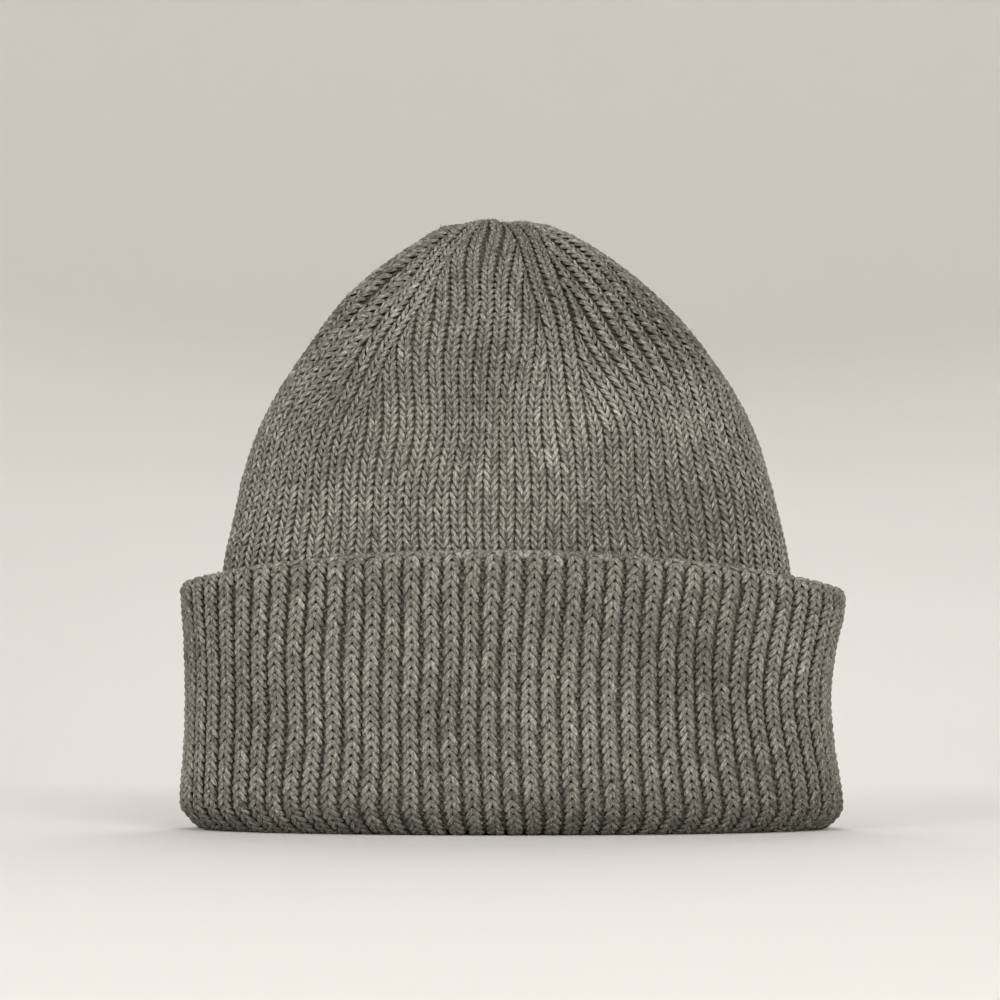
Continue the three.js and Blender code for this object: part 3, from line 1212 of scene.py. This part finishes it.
@dataclass
class Cuff(KnittedPart):
    """The turned-up brim, from the inner side of the fold over the free rim.

    rows_between is how far the stitches stay from the cloth's two ends, and purls_between how
    far the purl bumps stay from its first end and from the rim, in millimetres.
    """

    squeeze: float = 0.10
    wander: float = 0.08
    tone: float = -0.07
    patches: Sequence[Patch] = (
        Patch(39.2, 37.0, 12.0, 0.06),
        Patch(26.8, 60.6, 14.0, -0.05),
        Patch(-30.0, 55.0, 15.0, 0.04),
        Patch(62.0, 48.0, 12.0, -0.04),
    )
    back_groove: float = 40.5
    grain: Grain = Grain(
        pitch=6.4,
        row=2.62,
        radius=0.87,
        path=(
            (0.14, -0.80, -1.20),
            (0.50, 0.10, -0.84),
            (1.30, 1.32, -0.66),
            (1.98, 2.52, -0.98),
            (2.26, 3.35, -1.70),
        ),
    )
    # The purl bumps are the same yarn, painted darker as they sit deep between the ribs: painted shade.
    purl_painted_shade: float = -0.26
    purl: Grain = Grain(
        pitch=6.4,
        row=2.62,
        radius=0.80,
        path=((-1.4, 0.2, -2.9), (0.0, 0.0, -2.2), (1.4, -0.2, -2.9)),
        girth=(0.6, 1.0, 0.6),
        sides=4,
    )
    rows_between: tuple[float, float] = (1.0, 3.0)
    purls_between: tuple[float, float] = (7.0, 2.0)
    rim_bunch: float = 0.32
    rim_full: float = 1.35
    rim_reach: float = 5.0
    # Painted shade along the fold: how much darker the yarn is painted at the bottom, the height in
    # millimetres by which it fades out, and the curve of that fade.
    fold_painted_shade: float = 0.26
    fold_painted_shade_to: float = 16.0
    fold_painted_shade_curve: float = 1.3
    outer_rings: int = 58
    inner_rings: int = 22
    ground_depth: float = 1.8
    groove: float = 1.1
    inner_groove: float = 0.3
    # Painted shade on the outer face of the wall, which shows between the ribs.
    ground_painted_shade: float = -0.20
    lowest: float = 0.1
    sections: Sequence[Section] = (
        Section(5.6, 95.9, 45.3, -0.7, groove=0.3),
        Section(2.4, 96.9, 46.1, -0.7, groove=0.3),
        Section(0.5, 99.2, 48.2, -0.5, groove=0.3),
        Section(0.0, 102.0, 51.0, -0.1, groove=0.3),
        Section(0.3, 104.8, 53.8, 0.0, groove=0.5),
        Section(2.4, 107.6, 56.8, 0.0, groove=0.8),
        Section(5.8, 110.4, 59.2, -0.3),
        Section(10.5, 111.2, 60.0, -0.7),
        Section(29.5, 109.5, 58.8, -1.4, rise=0.1),
        Section(46.4, 109.0, 58.0, -1.7, rise=0.3),
        Section(63.4, 110.4, 58.2, -1.0, rise=0.6),
        Section(76.0, 112.2, 58.8, -0.1, rise=0.9),
        Section(83.2, 112.5, 58.8, rise=1.0, groove=0.7),
        Section(85.4, 110.5, 57.0, rise=1.0, groove=0.3),
        Section(83.8, 107.8, 54.8, rise=1.0, groove=0.2),
        Section(77.4, 106.4, 54.0, rise=0.95, groove=0.3),
        Section(66.0, 105.6, 53.6, -0.8, rise=0.65, groove=0.4),
    )
    inner_sections: Sequence[Section] = (
        Section(66.0, 105.6, 53.6, -0.8, rise=0.65),
        Section(40.0, 105.2, 53.6, -0.9, rise=0.3),
        Section(12.0, 105.6, 54.2, -0.7),
        Section(6.4, 103.0, 52.2, -0.7),
        Section(6.2, 99.5, 49.0, -0.7),
        Section(6.1, 96.2, 45.6, -0.7),
    )

    def __post_init__(self) -> None:
        """Works out the two surfaces and where the rim is."""
        self.surface = Surface(self.sections, self.squeeze)
        self.inner = Surface(self.inner_sections, self.squeeze)
        self.rim_at = self.surface.highest()

    def bunch(self, along: Array) -> Array:
        """How much the grains spread: the ribs open out and meet along the rim."""
        near = self.rim_full - np.abs(along - self.rim_at) / self.rim_reach
        return 1 + self.rim_bunch * ease(np.clip(near, 0, 1))

    def painted_shade(self, along: Array) -> Array:
        """Painted shade: how much darker the yarn's colour is painted towards the bottom of the fold that
        the hat stands on.
        """
        height = np.clip(self.surface.size(along, Surface.HEIGHT) / self.fold_painted_shade_to, 0, 1)
        return np.where(along < self.rim_at, self.fold_painted_shade * (1 - height) ** self.fold_painted_shade_curve, 0.0)

    def knitting(self, grain: Grain, groove: float, seed: int, tone: float) -> Knitting:
        """Sets up knitting on the cuff.

        Args:
            grain: The yarn shape to lay.
            groove: Where its ribs are counted from, in ribs round from the front.
            seed: The random seed.
            tone: How pale the yarn is.

        Returns:
            The knitting, with its stitches upside down, as the cloth is turned up.
        """
        start = Line(groove)
        round_hat = Panel(Line(groove - self.ribs_round), start, start)
        return Knitting(
            self.surface,
            Ribs(self.surface, self.ribs_round, (round_hat,)),
            grain,
            Turn.INVERTED,
            sway=Sways(21),
            wander=self.wander,
            blotch=Sways(22),
            rng=np.random.default_rng(seed),
            tone=tone,
            bunch=self.bunch,
            painted_shade=self.painted_shade,
            patches=self.patches,
        )

    def build(self) -> list[Piece]:
        """Knits the cuff.

        Returns:
            The ribs of stitches, the purl bumps between them, and the wall.
        """
        knitting = self.knitting(self.grain, self.back_groove, 202, self.tone)
        first, last = self.rows_between
        stitches = knitting.stitches(first, self.surface.length - last)
        front = (stitches[:, 1] - self.ribs_round / 4) % self.ribs_round < self.ribs_round / 2
        pieces = []
        for place, mine in (("front", stitches[front]), ("back", stitches[~front])):
            piece = joined_mesh(f"cuff_ribs_{place}", [knitting.lay(mine, side) for side in Side])
            pieces.append(dress(piece, "cuff", self.yarn))
        return [*pieces, self.build_purls(), self.build_wall()]

    def build_purls(self) -> Piece:
        """Makes the purl bumps.

        Returns:
            The small cross bumps that show deep between the ribs.
        """
        knitting = self.knitting(self.purl, self.back_groove - 0.5, 303, self.purl_painted_shade)
        first, last = self.purls_between
        bumps = knitting.lay(knitting.stitches(first, self.rim_at - last), Side.RIGHT)
        return dress(joined_mesh("cuff_purl_bumps", [bumps]), "cuff", self.yarn)

    def build_wall(self) -> Piece:
        """Makes the wall behind the stitches.

        Returns:
            The wall, down to the smooth face inside the fold.
        """
        shares = self.columns()
        ribs = shares * self.ribs_round - 0.5
        shade = np.full(len(shares), self.ground_painted_shade)
        rings = []
        for along in np.linspace(0, self.surface.length, self.outer_rings):
            share = float(self.surface.size(along, Surface.GROOVE))
            depth = self.ground_depth * min(1.0, 0.7 + 0.3 * share) + self.groove * share * (1 - crest(ribs))
            points = self.surface.place(shares, along, -depth)
            points[:, 2] = np.maximum(points[:, 2], self.lowest)
            rings.append(WallRing(points, ribs, ribs, along / self.grain.row, shade))
        for along in np.linspace(0, self.inner.length, self.inner_rings):
            points = self.inner.place(shares, along, -self.inner_groove * crest(ribs))
            course = (along - self.inner.length) / self.grain.row
            rings.append(WallRing(points, ribs, ribs, course, np.zeros(len(shares))))
        return dress(cloth_wall("cuff_wall", rings), "cuff", self.ground)


@dataclass
class LooseFibres:
    """Fine hairs that stand off a stretch of the wool and soften its outline, in millimetres.

    start and stop are along the cloth. lean is how far a hair bends over, in radians.
    """

    material: Material
    node: str
    surface: Surface
    start: float
    stop: float
    amount: int
    seed: int
    thickness: float = 0.04
    lengths: tuple[float, float] = (0.4, 1.5)
    lean: tuple[float, float] = (0.2, 1.25)
    path: Places = ((0.0, 0.0, 0.0), (0.08, 0.0, 0.55), (0.36, 0.0, 1.0))
    root_depth: float = 0.4

    def build(self) -> Piece:
        """Scatters the hairs.

        Returns:
            The hairs as one piece.
        """
        rng = np.random.default_rng(self.seed)
        hair = Grain(1.0, 1.0, self.thickness, self.path, (1.0, 0.9, 0.4), sides=3, flatness=1.0)
        local, yarn, faces = hair.build(Side.RIGHT)
        share, along = rng.uniform(0, 1, self.amount), rng.uniform(self.start, self.stop, self.amount)
        root = self.surface.place(share, along, -self.root_depth)
        ahead = self.surface.place(share, along + 0.4, -self.root_depth) - root
        ahead /= np.maximum(np.linalg.norm(ahead, axis=1, keepdims=True), 1e-6)
        off = self.surface.place(share, along, 1 - self.root_depth) - root
        turn = rng.uniform(0, FULL_TURN, self.amount)[:, None]
        lean = rng.uniform(*self.lean, self.amount)[:, None]
        forward = np.cos(turn) * ahead + np.sin(turn) * np.cross(ahead, off)
        sideways = np.cross(off, forward)
        stem = np.cos(lean) * off + np.sin(lean) * forward
        length = rng.uniform(*self.lengths, self.amount)[:, None, None]
        points = (
            root[:, None]
            + local[None, :, 0:1] * np.cross(sideways, stem)[:, None] * length
            + local[None, :, 1:2] * sideways[:, None]
            + local[None, :, 2:3] * stem[:, None] * length
        )
        points[..., 2] = np.maximum(points[..., 2], LOWEST_YARN)
        straight = np.broadcast_to(yarn[None], points.shape)
        batch = Batch(points, straight, rng.uniform(0, 1, self.amount), faces)
        return dress(joined_mesh(f"{self.node}_loose_fibres", [batch]), self.node, self.material)


@dataclass(frozen=True)
class Softbox:
    """A large round soft lamp, in metres and watts."""

    name: str
    place: tuple[float, float, float]
    size: float
    power: float
    colour: str = "#FFFFFF"

    def hang(self, aim: Vector) -> None:
        """Hangs the lamp.

        Args:
            aim: The point that it is turned to, in metres.
        """
        lamp = bpy.data.lights.new(self.name, "AREA")
        lamp.shape = "DISK"
        lamp.size = self.size
        lamp.energy = self.power
        lamp.color = linear(self.colour)[:3]
        hung = put(self.name, lamp)
        hung.location = self.place
        hung.rotation_euler = (aim - Vector(self.place)).to_track_quat("-Z", "Y").to_euler()


@dataclass
class Studio:
    """A plain pale sweep of floor and wall, soft lights, and the camera."""

    paper: str = "#EBE9E5"
    reach: float = 2.4
    height: float = 2.2
    corner: float = 1.3
    corner_steps: int = 8
    lamps: Sequence[Softbox] = (
        Softbox("key_softbox", (0.7, -1.85, 0.6), 1.1, 34.0, "#FFFDFA"),
        Softbox("fill_softbox", (-1.1, -1.6, 0.5), 1.2, 21.0),
        Softbox("back_softbox", (0.1, 1.2, 1.4), 1.3, 11.0),
    )
    lamps_aim: tuple[float, float, float] = (0.0, 0.0, 0.08)
    sky: str = "#F4F3F1"
    sky_strength: float = 0.36
    focal_length: float = 79.67
    camera_place: tuple[float, float, float] = (-4.4, -750.0, 31.2)
    camera_pitch: float = 6.06

    def build(self) -> None:
        """Sets up everything around the hat."""
        self.build_sweep()
        self.build_lights()
        self.build_camera()

    def build_sweep(self) -> None:
        """Spins a floor of matt paper that curves up into a wall all round."""
        shape = bmesh.new()
        flat = self.reach - self.corner
        outline = [Vector((0, 0, 0)), Vector((flat, 0, 0))]
        for i in range(1, self.corner_steps + 1):
            turn = math.radians(90 * i / self.corner_steps)
            rise = self.corner * (1 - math.cos(turn))
            outline.append(Vector((flat + self.corner * math.sin(turn), 0, rise)))
        outline.append(Vector((self.reach, 0, self.height)))
        verts = [shape.verts.new(point) for point in outline]
        edges = [shape.edges.new(pair) for pair in zip(verts, verts[1:])]
        around = {"axis": (0, 0, 1), "cent": (0, 0, 0), "angle": FULL_TURN, "steps": 96, "use_merge": True}
        bmesh.ops.spin(shape, geom=verts + edges, **around)
        bmesh.ops.remove_doubles(shape, verts=shape.verts, dist=1e-5)
        mesh = bpy.data.meshes.new("studio_sweep")
        shape.to_mesh(mesh)
        shape.free()
        mesh.shade_smooth()
        sweep = put("studio_sweep", mesh)
        material, _, shader = new_material("matt_paper", {"Roughness": 0.85, "Specular IOR Level": 0.2})
        shader["Base Color"].default_value = linear(self.paper)
        mesh.materials.append(material)

    def build_lights(self) -> None:
        """Hangs large soft lights and fills the shadows with a pale sky."""
        for lamp in self.lamps:
            lamp.hang(Vector(self.lamps_aim))
        world = bpy.data.worlds.new("pale_sky")
        world.use_nodes = True
        background = world.node_tree.nodes["Background"]
        background.inputs["Color"].default_value = linear(self.sky)
        background.inputs["Strength"].default_value = self.sky_strength
        bpy.context.scene.world = world
        bpy.context.scene.view_settings.view_transform = "Standard"
        bpy.context.scene.view_settings.look = "None"

    def build_camera(self) -> None:
        """Stands the camera where the photograph was taken from, low in front of the hat."""
        camera = bpy.data.cameras.new("camera")
        camera.lens = self.focal_length
        camera.sensor_width = 36.0
        camera.clip_start = 0.01
        stand = put("camera", camera)
        stand.location = Vector(self.camera_place) * MM
        stand.rotation_euler = (math.radians(90 + self.camera_pitch), 0, 0)
        bpy.context.scene.camera = stand


def main() -> None:
    """Builds the hat and the studio."""
    logging.basicConfig(level=logging.INFO, format="%(name)s: %(message)s")
    yarn, ground = RibbedWool().build(), KnitGround().build()
    crown = Crown(yarn, ground)
    pieces = crown.build()
    cuff = Cuff(yarn, ground)
    pieces += cuff.build()
    hair = LooseWool().build()
    for node, surface, start, stop, amount, seed in (
        ("crown", crown.surface, crown.surface.at_height(88.0), crown.surface.length - 2, 1800, 41),
        ("cuff", cuff.surface, 6.0, cuff.rim_at + 2, 1400, 42),
    ):
        pieces.append(LooseFibres(hair, node, surface, start, stop, amount, seed).build())
    Studio().build()
    for piece in pieces:
        LOG.info("%s: %d faces", piece.name, len(piece.data.polygons))


if __name__ == "__main__":
    main()
